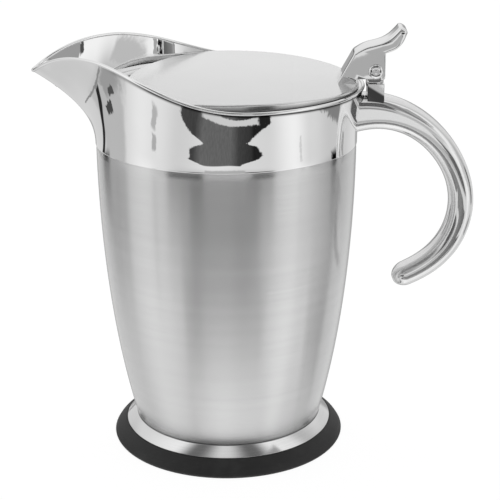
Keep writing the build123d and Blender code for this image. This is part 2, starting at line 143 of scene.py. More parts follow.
class Socket:
    """A shader socket that takes part in arithmetic: each operator adds its Math node."""

    def __init__(self, graph, socket):
        self.graph = graph
        self.socket = socket

    def maths(self, operation, *others, reflected=False):
        values = [self, *others]
        if reflected:
            values.reverse()
        return self.graph.add("ShaderNodeMath", {"operation": operation}, dict(enumerate(values)))

    def __add__(self, other):
        return self.maths("ADD", other)

    def __radd__(self, other):
        return self.maths("ADD", other, reflected=True)

    def __sub__(self, other):
        return self.maths("SUBTRACT", other)

    def __rsub__(self, other):
        return self.maths("SUBTRACT", other, reflected=True)

    def __mul__(self, other):
        return self.maths("MULTIPLY", other)

    def __rmul__(self, other):
        return self.maths("MULTIPLY", other, reflected=True)

    def __truediv__(self, other):
        return self.maths("DIVIDE", other)

    def __rtruediv__(self, other):
        return self.maths("DIVIDE", other, reflected=True)

    def __pow__(self, other):
        return self.maths("POWER", other)

    def __abs__(self):
        return self.maths("ABSOLUTE")

    def rise(self, low, high, start=0.0, end=1.0):
        """start below low, end above high, and a smooth step between them."""
        settings = {"interpolation_type": "SMOOTHSTEP"}
        return self.graph.add("ShaderNodeMapRange", settings,
                              {0: self, 1: low, 2: high, 3: start, 4: end})

    def window(self, low, high, softness):
        """1 between low and high, falling smoothly to 0 over softness outside them."""
        return self.rise(low - softness, low) * self.rise(high, high + softness, 1.0, 0.0)

    def bump_at(self, centre, half_width, softness):
        """1 within half_width of centre, falling smoothly to 0 over softness."""
        away = abs(self - centre)
        return away.rise(half_width, half_width + softness, 1.0, 0.0)


class Graph:
    """Adds nodes to one node tree, emptied first."""

    def __init__(self, tree):
        self.tree = tree
        tree.nodes.clear()

    def add(self, kind, settings=None, inputs=None, output=0):
        """Add a node, make its settings, fill its inputs with values or links, give its output."""
        node = self.tree.nodes.new(kind)
        for name, value in (settings or {}).items():
            if name == "stops":
                self.fill_ramp(node.color_ramp, *value)
            else:
                setattr(node, name, value)
        for name, value in (inputs or {}).items():
            if isinstance(value, Socket):
                self.tree.links.new(value.socket, node.inputs[name])
            else:
                node.inputs[name].default_value = value
        return Socket(self, node.outputs[output]) if len(node.outputs) else None

    @staticmethod
    def fill_ramp(ramp, stops, easing):
        ramp.interpolation = easing
        while len(ramp.elements) < len(stops):
            ramp.elements.new(1.0)
        for element, (place, grey) in zip(ramp.elements, stops):
            element.position = place
            element.color = (grey, grey, grey, 1.0)

    def ramp(self, factor, stops, easing="LINEAR"):
        """A grey that follows stops of (place, grey)."""
        return self.add("ShaderNodeValToRGB", {"stops": (stops, easing)}, {0: factor})

    def noise(self, vector, scale, detail=2.0, roughness=0.5):
        return self.add("ShaderNodeTexNoise", {},
                        {"Vector": vector, "Scale": scale, "Detail": detail,
                         "Roughness": roughness})

    def mapped(self, vector, scale, place=(0.0, 0.0, 0.0)):
        return self.add("ShaderNodeMapping", {},
                        {"Vector": vector, "Scale": scale, "Location": place})

    def mix(self, factor, first, second):
        """Between two colours by a factor from 0 to 1."""
        return self.add("ShaderNodeMix", {"data_type": "RGBA"}, {0: factor, 6: first, 7: second},
                        output=2)

    def place(self):
        return self.add("ShaderNodeTexCoord", output=3)

    def split(self, vector):
        """The three numbers of a vector."""
        parts = self.add("ShaderNodeSeparateXYZ", {}, {0: vector})
        return [Socket(self, part) for part in parts.socket.node.outputs]

    def bump(self, height, strength, distance):
        return self.add("ShaderNodeBump", {},
                        {"Height": height, "Strength": strength, "Distance": distance})


def grey(level, warmth=0.0):
    """A colour from a display grey between 0 and 1."""
    value = level ** 2.2
    return (value * (1 + warmth), value, value * (1 - warmth), 1.0)


def material(name):
    made = bpy.data.materials.new(name)
    made.use_nodes = True
    return made, Graph(made.node_tree)


def surface(graph, **inputs):
    """The Principled shader and the material's output."""
    named = {name.replace("_", " "): value for name, value in inputs.items()}
    shader = graph.add("ShaderNodeBsdfPrincipled", {}, named)
    graph.add("ShaderNodeOutputMaterial", {}, {"Surface": shader})


# Where the body's finish changes, as heights in metres: the painted shade in the corner above
# the foot, the painted shade that fades in towards the collar, and the stretch over which its
# scratches scatter less light.
PAINTED_FOOT_SHADE_HEIGHTS = 0.0112, 0.0150
PAINTED_COLLAR_SHADE_HEIGHTS = 0.065, 0.118
SCATTER_HEIGHTS = 0.092, 0.134
# Greys of painted shade: body and lid front, collar crease and lid gap, post wedge.
PAINTED_SHADE_GREY = 0.35
PAINTED_GAP_GREY = 0.12
PAINTED_WEDGE_GREY = 0.15


def brushed_round(name, level, roughness, anisotropy, line_height=0.22, paint_shade=False):
    """Steel brushed in fine lines round the body: noise that is long round and short upwards.

    On the body with painted shade the scratches scatter some light evenly, least just under the
    collar. Painted shade darkens the steel in the corner above the foot, and a little towards the
    collar.
    """
    made, graph = material(name)
    place = graph.place()
    lines_per_metre = 1 / (line_height * MM)
    fine = graph.noise(graph.mapped(place, (12.0, 12.0, lines_per_metre)), 1.0, 3.0, 0.6)
    broad = graph.noise(graph.mapped(place, (7.0, 7.0, lines_per_metre / 12)), 1.0, 2.0)
    cloud = graph.noise(place, 22.0, 2.0)
    tone = fine * 0.55 + broad * 0.25 + cloud * 0.2
    colour = graph.mix(tone.rise(0.3, 0.7), grey(level - 0.016), grey(level + 0.016))
    metallic = 1.0
    if paint_shade:
        height = graph.split(place)[2]
        metallic = height.rise(*SCATTER_HEIGHTS, 0.74, 0.95)
        # painted shade: darker in the corner above the foot and a little towards the collar
        shade = height.rise(*PAINTED_FOOT_SHADE_HEIGHTS, 0.6, 0.0) + height.rise(*PAINTED_COLLAR_SHADE_HEIGHTS, 0.0, 0.13)
        colour = graph.mix(shade, colour, grey(PAINTED_SHADE_GREY))
    surface(graph, Base_Color=colour, Metallic=metallic,
            Roughness=roughness - 0.02 + tone * 0.04,
            Anisotropic=anisotropy, Anisotropic_Rotation=0.25,
            Normal=graph.bump(fine, 0.04, 0.00002))
    return made


def polished(name, level, roughness, ripple=0.05, painted_gap_shade=False, metallic=1.0, painted_front_shade=0.0):
    """Mirror polish: a very slight ripple from the forming, faint wiping marks and smudges.

    Where the mesh carries an attribute of painted shade, the steel darkens by it: painted shade
    in a crease or gap. A painted front shade darkens a flat piece slowly from its back, at +Y, to
    its front.
    """
    made, graph = material(name)
    place = graph.place()
    smudge = graph.noise(place, 38.0, 3.0, 0.6)
    wiped = graph.noise(graph.mapped(place, (60.0, 60.0, 420.0)), 1.0, 3.0, 0.6)
    form = graph.noise(place, 55.0, 1.0)
    colour = graph.mix(smudge.rise(0.35, 0.75), grey(level), grey(level - 0.012))
    if painted_front_shade:
        # painted shade, darker from the back to the front
        across = graph.split(place)[1]
        colour = graph.mix(across.rise(-0.062, 0.05, painted_front_shade, 0.0), colour, grey(PAINTED_SHADE_GREY))
    if painted_gap_shade:
        # painted shade in creases and gaps, read from the mesh's attribute
        depth = graph.add("ShaderNodeAttribute", {"attribute_name": "painted_gap_shade"}, output=2)
        colour = graph.mix(depth, colour, grey(PAINTED_GAP_GREY))
    surface(graph, Base_Color=colour, Metallic=metallic,
            Roughness=roughness + smudge.rise(0.5, 0.8) * 0.015 + wiped.rise(0.55, 0.8) * 0.01,
            Normal=graph.bump(form, ripple, 0.002))
    return made


def satin(name, level, roughness):
    """Plain satin steel: a fine even grain with a slight mottle.

    Painted shade darkens it in the wedge where the post comes out of the handle behind the collar.
    """
    made, graph = material(name)
    place = graph.place()
    fine = graph.noise(place, 900.0, 3.0, 0.6)
    mottle = graph.noise(place, 60.0, 3.0)
    colour = graph.mix(fine * 0.6 + mottle * 0.4, grey(level - 0.05), grey(level + 0.05))
    x, _, z = graph.split(place)
    # painted shade in the wedge where the post leaves the handle
    wedge = (z + x * 0.6).rise(0.1974, 0.1986, 0.92, 0.0)
    colour = graph.mix(wedge, colour, grey(PAINTED_WEDGE_GREY))
    surface(graph, Base_Color=colour, Metallic=1.0,
            Roughness=roughness - 0.06 + mottle * 0.12,
            Normal=graph.bump(fine, 0.12, 0.00008))
    return made


def spun(name, level, roughness):
    """Steel turned on a lathe: fine rings about the body's axis, from noise on the radius."""
    made, graph = material(name)
    place = graph.place()
    x, y, _ = graph.split(place)
    radius = (x * x + y * y) ** 0.5
    rings = graph.add("ShaderNodeTexNoise", {"noise_dimensions": "1D"},
                      {"W": radius, "Scale": 1 / (0.35 * MM), "Detail": 3.0})
    mottle = graph.noise(place, 45.0, 2.0)
    colour = graph.mix(rings * 0.7 + mottle * 0.3, grey(level - 0.06), grey(level + 0.06))
    surface(graph, Base_Color=colour, Metallic=1.0,
            Roughness=roughness - 0.05 + rings * 0.1,
            Normal=graph.bump(rings, 0.15, 0.00006))
    return made


def soft_rubber(name):
    """Matte black rubber: a fine pebbled skin, with paler dust on the raised grains."""
    made, graph = material(name)
    place = graph.place()
    pebble = graph.noise(place, 2600.0, 2.0, 0.6)
    dust = graph.noise(place, 70.0, 4.0, 0.7)
    colour = graph.mix(dust.rise(0.45, 0.8), grey(0.16), grey(0.21))
    surface(graph, Base_Color=colour, Roughness=0.52 + dust * 0.14,
            Specular_IOR_Level=0.45,
            Normal=graph.bump(pebble, 0.25, 0.0001))
    return made


# Meshes

def enclosed(points, groups):
    """Six times the volume inside groups of faces, each cut into a fan from its first corner."""
    total = 0.0
    for faces in groups:
        corners = points[faces]
        total += (corners[:, :1] * np.cross(corners[:, 1:-1], corners[:, 2:])).sum()
    return total


def mesh_object(name, points, groups, finish, sharp=35.0):
    """One closed mesh in metres, with every face turned outwards by the sign of its volume.

    Each group is an array of faces with the same number of corners.
    """
    step = 1 if enclosed(points, groups) > 0 else -1
    lists = [face for faces in groups for face in faces[:, ::step].tolist()]
    mesh = bpy.data.meshes.new(name)
    mesh.from_pydata((points * MM).tolist(), [], lists)
    mesh.materials.append(finish)
    mesh.shade_smooth()
    mesh.set_sharp_from_angle(angle=radians(sharp))
    made = bpy.data.objects.new(name, mesh)
    bpy.context.scene.collection.objects.link(made)
    return made


def skin(grid, ends="ring", first=0):
    """Points and groups of faces of a grid of rows whose columns run round and meet.

    ends is "ring" where the last row joins the first, "poles" where the first and last rows
    draw together into one point each, and "caps" where each is closed by a single flat face.
    """
    rows, columns, _ = grid.shape
    points = grid.reshape(-1, 3)
    index = np.arange(rows * columns).reshape(rows, columns) + first
    beside = np.roll(index, -1, axis=1)
    low, low_beside = index[:-1], beside[:-1]
    high, high_beside = index[1:], beside[1:]
    if ends == "ring":
        low, low_beside = index, beside
        high, high_beside = np.roll(index, -1, axis=0), np.roll(beside, -1, axis=0)
    quads = np.stack([low, low_beside, high_beside, high], axis=-1).reshape(-1, 4)
    groups = [quads]
    if ends == "poles":
        middles = np.stack([grid[0].mean(axis=0), grid[-1].mean(axis=0)])
        points = np.concatenate([points, middles])
        pole = np.full(columns, first + rows * columns)
        groups.append(np.stack([pole, beside[0], index[0]], axis=-1))
        groups.append(np.stack([pole + 1, index[-1], beside[-1]], axis=-1))
    if ends == "caps":
        groups.append(index[:1, ::-1])
        groups.append(index[-1:])
    return points, groups


def welded(points, groups):
    """Join points that coincide, and drop the faces and corners that close up because of it."""
    keys = np.round(points * 1e4).astype(np.int64)
    _, first, joined = np.unique(keys, axis=0, return_index=True, return_inverse=True)
    joined = joined.reshape(-1)
    kept = []
    for faces in groups:
        faces = joined[faces]
        doubled = faces == np.roll(faces, 1, axis=1)
        left = faces.shape[1] - doubled.sum(axis=1)
        for corners in np.unique(left[left > 2]):
            same = left == corners
            kept.append(faces[same][~doubled[same]].reshape(-1, corners))
    return points[first], kept


def finished(name, grid, finish, body, nodes, ends="ring", sharp=35.0):
    """A piece from one grid, riding on its body and standing for its CAD nodes."""
    return placed(mesh_object(name, *skin(grid, ends), finish, sharp), body, nodes)


def add_painted_shade(piece, depth):
    """Keep a share of painted shade from 0 to 1 for each point of a grid's rows, for the material to darken.
    """
    spare = len(piece.data.vertices) - depth.size
    layer = piece.data.attributes.new("painted_gap_shade", "FLOAT", "POINT")
    layer.data.foreach_set("value", np.append(depth.ravel(), np.zeros(spare)))
    return piece


def placed(piece, body, nodes):
    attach(piece, body)
    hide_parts(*nodes)
    return piece


def rounded(corners, radii, points=7):
    """A closed outline with arcs for its corners.

    Each arc is the rational curve of degree two from one tangent point to the other, with the
    corner between them and the sine of half the corner's angle as the corner's weight.
    """
    corner = np.array(corners, float)
    before = np.roll(corner, 1, axis=0) - corner
    after = np.roll(corner, -1, axis=0) - corner
    before /= np.linalg.norm(before, axis=1, keepdims=True)
    after /= np.linalg.norm(after, axis=1, keepdims=True)
    half = np.arccos(np.clip((before * after).sum(axis=1), -1.0, 1.0)) / 2
    reach = (np.broadcast_to(radii, half.shape) / np.tan(half))[:, None, None]
    step = np.linspace(0.0, 1.0, points)[None, :, None]
    weight = np.sin(half)[:, None, None]
    start = corner[:, None] + before[:, None] * reach
    end = corner[:, None] + after[:, None] * reach
    shares = [(1 - step) ** 2, 2 * step * (1 - step) * weight, step ** 2]
    curve = shares[0] * start + shares[1] * corner[:, None] + shares[2] * end
    curve = (curve / sum(shares)).reshape(-1, 2)
    gap = np.linalg.norm(curve - np.roll(curve, 1, axis=0), axis=1)
    return curve[gap > 1e-5]


def turned(outline, columns=288):
    """Turn an outline of (radius, height) about the Z axis."""
    angle = np.linspace(0.0, 2 * pi, columns, endpoint=False)[None, :]
    radius, height = outline[:, :1], outline[:, 1:]
    return np.stack([radius * np.cos(angle), radius * np.sin(angle),
                     np.broadcast_to(height, (len(outline), columns))], axis=-1)


def about_pin(outline, columns=64):
    """Turn an outline of (radius, place along Y) about the pin's axis."""
    grid = turned(outline, columns)
    return np.stack([PIN_X + grid[..., 0], grid[..., 2], PIN_HEIGHT + grid[..., 1]], axis=-1)


def smooth_line(corners, count):
    """The cubic curve with a steady second slope through all the points, by their distance."""
    knots = np.array(corners, float)
    gap = np.linalg.norm(np.diff(knots, axis=0), axis=1)
    place = np.concatenate([[0.0], np.cumsum(gap)])
    size = len(knots)
    matrix = np.eye(size)
    inner = np.arange(1, size - 1)
    matrix[inner, inner - 1] = gap[:-1]
    matrix[inner, inner] = 2 * (gap[:-1] + gap[1:])
    matrix[inner, inner + 1] = gap[1:]
    slope = np.diff(knots, axis=0) / gap[:, None]
    side = np.zeros_like(knots)
    side[1:-1] = 6 * np.diff(slope, axis=0)
    bend = np.linalg.solve(matrix, side)
    along = np.linspace(0.0, place[-1], count)
    span = np.clip(np.searchsorted(place, along, side="right") - 1, 0, size - 2)
    left = (along - place[span])[:, None]
    right = (place[span + 1] - along)[:, None]
    width = gap[span][:, None]
    return (bend[span] * right ** 3 + bend[span + 1] * left ** 3) / (6 * width) \
        + (knots[span] / width - bend[span] * width / 6) * right \
        + (knots[span + 1] / width - bend[span + 1] * width / 6) * left


# Body, foot and liner

def wall_radius(height):
    """The body's outside: an ellipse that stands upright at the seam, and a slight draw-in by a
    square law over the last few millimetres below it."""
    drawn = np.clip((height - SEAM_HEIGHT) / SHOULDER_HEIGHT + 1, 0.0, 1.0) ** 2
    return BODY_RADIUS * np.sqrt(1 - ((height - SEAM_HEIGHT) / BODY_TAPER_HEIGHT) ** 2) \
        - SHOULDER_DRAW * drawn


def wall_line(inset, low, high, points=70):
    height = np.linspace(low, high, points)
    return np.stack([wall_radius(height) - inset, height], axis=-1)


def body_outline():
    """The outer shell: side wall, softened shoulder under the collar, neck, inside and floor."""
    neck_top = SEAM_HEIGHT + NECK_HEIGHT
    neck = np.array([(NECK_RADIUS, SEAM_HEIGHT), (NECK_RADIUS, neck_top),
                     (NECK_RADIUS - SHELL_WALL, neck_top),
                     (NECK_RADIUS - SHELL_WALL, SEAM_HEIGHT - SHELL_WALL)])
    inside = wall_line(SHELL_WALL, BODY_BOTTOM + SHELL_WALL, SEAM_HEIGHT - SHELL_WALL, 20)[::-1]
    floor = np.array([(FLOOR_OPENING, BODY_BOTTOM + SHELL_WALL), (FLOOR_OPENING, BODY_BOTTOM)])
    outside = wall_line(0.0, BODY_BOTTOM + 0.4, SEAM_HEIGHT - SHOULDER_HEIGHT, 90)[:-1]
    shoulder = wall_line(0.0, SEAM_HEIGHT - SHOULDER_HEIGHT, SEAM_HEIGHT, 24)
    heel = np.array([(wall_radius(BODY_BOTTOM) - 0.45, BODY_BOTTOM),
                     (wall_radius(BODY_BOTTOM) - 0.1, BODY_BOTTOM + 0.1)])
    return np.concatenate([heel, outside, shoulder, neck, inside, floor])


def liner_outline():
    """The vessel: floor, rounded corner and side, inside and out, joined by a lip."""
    lines = []
    for inset, floor in ((LINER_INSET, LINER_FLOOR), (LINER_INSET + LINER_WALL,
                                                      LINER_FLOOR + LINER_WALL)):
        side = wall_line(inset, floor + LINER_CORNER, SEAM_HEIGHT, 60)
        turn = np.linspace(-pi / 2, 0.0, 14)[:-1]
        centre = side[0, 0] - LINER_CORNER
        corner = np.stack([centre + LINER_CORNER * np.cos(turn),
                           floor + LINER_CORNER * (1 + np.sin(turn))], axis=-1)
        bottom = np.array([(0.5, floor), (centre / 2, floor)])
        mouth = np.array([(BODY_RADIUS - inset, LEDGE_TOP - MOUTH_LIP)])
        lines.append(np.concatenate([bottom, corner, side, mouth]))
    return np.concatenate([lines[0], lines[1][::-1]])


def foot_ring_outline():
    """A ring that widens downwards in a straight slope, with soft edges."""
    return rounded([(38.0, 11.0), (42.1, 11.0), (46.6, 6.9), (38.0, 6.9)],
                   [0.0, 0.6, 0.2, 0.0], 9)


def rubber_outline():
    """The rubber ring: a lip round the steel, a long outward slope and a blunt lower edge."""
    return rounded([(40.5, 6.9), (47.0, 6.9), (50.6, 3.5), (52.1, 1.1), (51.3, 0.0), (40.5, 0.0)],
                   [0.3, 0.45, 6.0, 0.9, 0.5, 0.5], 9)


# Spout collar

def plan_reach(angle):
    """Distance from the axis to the rim in plan, at an angle from the spout's direction.

    A small circle at the nose, the straight lines that touch both circles, and a large circle.
    """
    flank = pi / 2 - asin((RIM_RADIUS - NOSE_RADIUS) / NOSE_CENTRE)
    nose_end = atan2(NOSE_RADIUS * sin(flank), NOSE_CENTRE + NOSE_RADIUS * cos(flank))
    away = np.abs(angle)
    sideways = NOSE_CENTRE * np.sin(np.minimum(away, nose_end))
    nose = NOSE_CENTRE * np.cos(away) + np.sqrt(NOSE_RADIUS ** 2 - sideways ** 2)
    straight = RIM_RADIUS / np.cos(flank - np.clip(away, nose_end, flank))
    return np.where(away < nose_end, nose, np.where(away < flank, straight, RIM_RADIUS))


def soft_reach(angle):
    """plan_reach, averaged over a few degrees so that reflections flow across its joins."""
    offsets = np.radians(np.linspace(-2.4, 2.4, 9))
    weights = np.cos(offsets / np.radians(3.0) * pi / 2)
    values = plan_reach(np.asarray(angle)[..., None] + offsets)
    return (values * weights).sum(axis=-1) / weights.sum()


def rim_height(x):
    """The rim's height: level at the back, a smooth climb to the peak, and down to the tip."""
    climb = np.clip((RIM_LEVEL_X - x) / (RIM_LEVEL_X - RIM_PEAK_X), 0.0, 1.0) ** RIM_RISE_POWER
    rising = RIM_BACK_HEIGHT + (RIM_PEAK_HEIGHT - RIM_BACK_HEIGHT) * climb ** 2 * (3 - 2 * climb)
    past = np.clip((RIM_PEAK_X - x) / (SPOUT_REACH + RIM_PEAK_X), 0.0, 1.0)
    falling = RIM_PEAK_HEIGHT - (RIM_PEAK_HEIGHT - RIM_TIP_HEIGHT) * past ** RIM_FALL_POWER
    return np.where(x > RIM_PEAK_X, rising, falling)


def collar_sheet(angle, share):
    """Outside of the collar: a share of the way up from the seam, leaning out by its power."""
    reach = soft_reach(angle)
    rise = rim_height(-reach * np.cos(angle)) - SEAM_HEIGHT
    radius = COLLAR_BASE_RADIUS + (reach - COLLAR_BASE_RADIUS) * share ** FLARE_POWER
    return np.stack([-radius * np.cos(angle), radius * np.sin(angle),
                     SEAM_HEIGHT + rise * share], axis=-1)


def unit(vectors):
    return vectors / np.linalg.norm(vectors, axis=-1, keepdims=True)


def collar_frame(angle, share):
    """A point of the sheet, the direction up it and its outward normal."""
    step = 1e-4
    point = collar_sheet(angle, share)
    upwards = (point - collar_sheet(angle, share - step)) / step
    round_it = (collar_sheet(angle + step, share) - collar_sheet(angle - step, share)) / step
    outward = unit(np.cross(upwards, round_it))
    outward *= np.sign((outward[..., :2] * point[..., :2]).sum(axis=-1, keepdims=True))
    return point, upwards, outward


def collar_angles(columns=640):
    """Angles from the spout's direction, closer together towards the nose."""
    place = np.linspace(-1.0, 1.0, columns, endpoint=False)
    return pi * np.sign(place) * np.abs(place) ** 1.5


def collar_grid():
    """Outer wall, rolled rim and inner wall as one ring of rows.

    The rim is a wire-like bead: an arc about a line that runs inside the sheet's top edge, in
    the plane of the sheet's upward direction and its normal.
    """
    angle = collar_angles()
    rim, up_long, normal = collar_frame(angle, np.ones_like(angle))
    upward = unit(up_long)
    start = np.arccos((BEAD_RADIUS - BEAD_PROUD) / BEAD_RADIUS)
    meet = BEAD_RADIUS * (1 + sin(start))
    top_share = 1 - meet / np.linalg.norm(up_long, axis=-1)
    lift = np.linspace(0.0, 1.0, COLLAR_WALL_ROWS + 1)[1:, None]
    share = top_share[None, :] * lift
    sheet, _, outward = collar_frame(np.broadcast_to(angle, share.shape), share)
    sink = (BEAD_PROUD * share)[..., None]
    outer = sheet - outward * sink
    inner = sheet - outward * (sink + COLLAR_WALL)
    turn = np.linspace(-start, pi + start, 22)[:, None, None]
    centre = rim - (upward + normal) * BEAD_RADIUS
    bead = centre + BEAD_RADIUS * (np.cos(turn) * normal + np.sin(turn) * upward)
    base, _, base_out = collar_frame(angle, np.full_like(angle, 1e-4))
    curl = np.linspace(0.0, pi / 2, COLLAR_FOOT_ROWS)[:, None, None]
    foot = base - base_out * 0.3 * (1 - np.sin(curl)) + np.array([0, 0, 0.3]) * (1 - np.cos(curl))
    foot_inner = base - base_out * COLLAR_WALL
    return np.concatenate([foot_inner[None], foot, outer, bead[1:-1], inner[::-1]])


def painted_crease_shade(grid):
    """How much painted shade each point of the collar gets in the crease under its bead.

    1 on the two rows where the sheet meets the bead, less on the rows beside them, and nothing
    round the spout, where the bead lies flush.
    """
    crease = COLLAR_FOOT_ROWS + COLLAR_WALL_ROWS + 0.5
    rows = np.arange(len(grid))[:, None]
    across = np.clip(1.6 - 0.55 * np.abs(rows - crease), 0.0, 1.0)
    round_it = np.clip((np.abs(collar_angles()) - radians(38.0)) / radians(25.0), 0.0, 1.0)
    return across * round_it


def wall_reach(angle, height):
    """Radius of the collar's outside at a compass angle and a height."""
    reach = soft_reach(angle)
    rise = rim_height(-reach * np.cos(angle)) - SEAM_HEIGHT
    share = (height - SEAM_HEIGHT) / rise
    return COLLAR_BASE_RADIUS + (reach - COLLAR_BASE_RADIUS) * share ** FLARE_POWER


def ledge_grid():
    """The flat ring inside the collar, out to its wall, turned down in a quarter round at the
    mouth."""
    angle = collar_angles(480)
    step = 0.001
    outside = wall_reach(angle, LEDGE_TOP)
    climb = (wall_reach(angle, LEDGE_TOP + step) - outside) / step
    swing = (wall_reach(angle + step, LEDGE_TOP) - wall_reach(angle - step, LEDGE_TOP)) \
        / (2 * step * outside)
    outside = outside - (COLLAR_WALL - LEDGE_INTO_WALL) * np.sqrt(1 + climb ** 2 + swing ** 2)
    thickness = LEDGE_TOP - LEDGE_BOTTOM
    flat = np.linspace(0.0, 1.0, 10)[:, None]
    top = outside * (1 - flat) + (MOUTH_RADIUS + MOUTH_LIP) * flat
    turn = np.linspace(pi / 2, pi, 9)[1:, None]
    lip = MOUTH_RADIUS + MOUTH_LIP + MOUTH_LIP * np.cos(turn) + 0 * outside
    inner = MOUTH_LIP - thickness
    under = MOUTH_RADIUS + MOUTH_LIP + inner * np.cos(turn[::-1]) + 0 * outside
    radius = np.concatenate([top, lip, under, top[::-1]])
    level = 0 * outside
    height = np.concatenate([LEDGE_TOP + 0 * top,
                             LEDGE_TOP - MOUTH_LIP + MOUTH_LIP * np.sin(turn) + level,
                             LEDGE_TOP - MOUTH_LIP + inner * np.sin(turn[::-1]) + level,
                             LEDGE_BOTTOM + 0 * top])
    return np.stack([-radius * np.cos(angle), radius * np.sin(angle), height], axis=-1)


# Lid

def lid_reach(angle):
    """The lid's outline: the soft minimum of the circle and of the front edge's wider arc."""
    toward = LID_FRONT_CENTRE * np.cos(angle)
    front = toward + np.sqrt(LID_FRONT_RADIUS ** 2 - (LID_FRONT_CENTRE * np.sin(angle)) ** 2)
    soft = LID_CORNER_SOFTNESS
    return -soft * np.log(np.exp(-LID_RADIUS / soft) + np.exp(-front / soft))


def lid_surface(x, y):
    """The top: a very flat crown from front to back, with one small round dimple."""
    crown = LID_TOP - LID_CROWN_RADIUS + np.sqrt(LID_CROWN_RADIUS ** 2 - x ** 2)
    away = (x - DIMPLE_X) ** 2 + y ** 2
    return crown - DIMPLE_DEPTH * np.exp(-away / DIMPLE_RADIUS ** 2)


def lid_rows(inset, share, columns=540):
    """Plan points at shares of the outline, moved inwards."""
    angle = np.linspace(0.0, 2 * pi, columns, endpoint=False)[None, :]
    radius = (lid_reach(angle) - inset) * share
    return radius * np.cos(angle), radius * np.sin(angle)


def lid_grid():
    """Top, rounded edge, turned-down side, and the same again inside it."""
    flat = np.linspace(0.0, 1.0, LID_TOP_ROWS + 1)[1:, None]
    x, y = lid_rows(LID_EDGE_ROUND, flat)
    top = np.stack([x, y, lid_surface(x, y)], axis=-1)
    turn = np.linspace(0.0, pi / 2, LID_EDGE_ROWS + 1)[1:, None]
    x, y = lid_rows(LID_EDGE_ROUND * (1 - np.sin(turn)), 1.0)
    edge = np.stack([x, y, lid_surface(x, 60.0) - LID_EDGE_ROUND * (1 - np.cos(turn))], axis=-1)
    down = np.array([[0.0], [0.12], [LID_WALL]])
    heights = np.array([[LID_BOTTOM + 0.12], [LID_BOTTOM], [LID_BOTTOM]])
    x, y = lid_rows(down, 1.0)
    side = np.stack([x, y, heights + 0 * x], axis=-1)
    flat = np.linspace(1.0, 0.0, 24, endpoint=False)[:, None]
    x, y = lid_rows(LID_WALL, flat)
    under = np.stack([x, y, lid_surface(x, 60.0) - LID_WALL], axis=-1)
    return np.concatenate([top, edge, side, under])


def painted_lid_edge_shade(grid):
    """Painted shade in the gap round the lid: 1 on its lower edge, fading up its turned-down
    side, and towards the back (+Y).
    """
    depth = np.zeros(grid.shape[:2])
    last = LID_TOP_ROWS + LID_EDGE_ROWS - 1
    depth[last:last + 5] = np.array([0.25, 0.9, 1.0, 1.0, 1.0])[:, None]
    return depth * np.clip(0.5 - grid[..., 1] / 30.0, 0.0, 1.0)


def lid_plate_grid():
    """The flat disc under the lid, half a millimetre thick."""
    flat = np.linspace(0.0, 1.0, 120)[1:, None]
    inset = LID_WALL + 0.1
    x, y = lid_rows(inset, flat)
    low = np.stack([x, y, LID_BOTTOM + 0 * x], axis=-1)
    x, y = lid_rows(inset, flat[::-6])
    high = np.stack([x, y, LID_BOTTOM + 0.5 + 0 * x], axis=-1)
    return np.concatenate([low, high])


# Lever, post and pin

def inset_outline(outline, distance):
    """Each point of a closed outline moved inwards along the mean normal of its two sides."""
    ahead = np.roll(outline, -1, axis=0) - outline
    ahead = ahead / np.linalg.norm(ahead, axis=1, keepdims=True)
    normal = np.stack([-ahead[:, 1], ahead[:, 0]], axis=-1)
    mean = unit(normal + np.roll(normal, 1, axis=0))
    area = 0.5 * np.sum(outline[:, 0] * np.roll(outline[:, 1], -1)
                        - np.roll(outline[:, 0], -1) * outline[:, 1])
    return outline + mean * np.sign(area) * np.reshape(distance, (-1, 1))


def rounded_rows(outline, half_width, edge):
    """Rows from the rim of the flat side out to the full outline, over a quarter-round edge."""
    turn = np.linspace(0.0, pi / 2, 7)
    edge = np.broadcast_to(edge, len(outline))
    rows = []
    for quarter in turn:
        plan = inset_outline(outline, edge * (1 - sin(quarter)))
        across = half_width - edge * (1 - cos(quarter))
        rows.append(np.stack([plan[:, 0], across, plan[:, 1]], axis=-1))
    return np.array(rows)


def bar_grid(outline, half_width, edge):
    """An outline in the XZ plane carried across Y, with rounded edges on both sides."""
    near = rounded_rows(outline, half_width, edge)
    far = near * np.array([1.0, -1.0, 1.0])
    return np.concatenate([near, far[::-1]])


def round_pin(radius, angle):
    """Points in the XZ plane at angles round the pin's axis."""
    return np.stack([PIN_X + radius * np.cos(angle), PIN_HEIGHT + radius * np.sin(angle)], axis=-1)


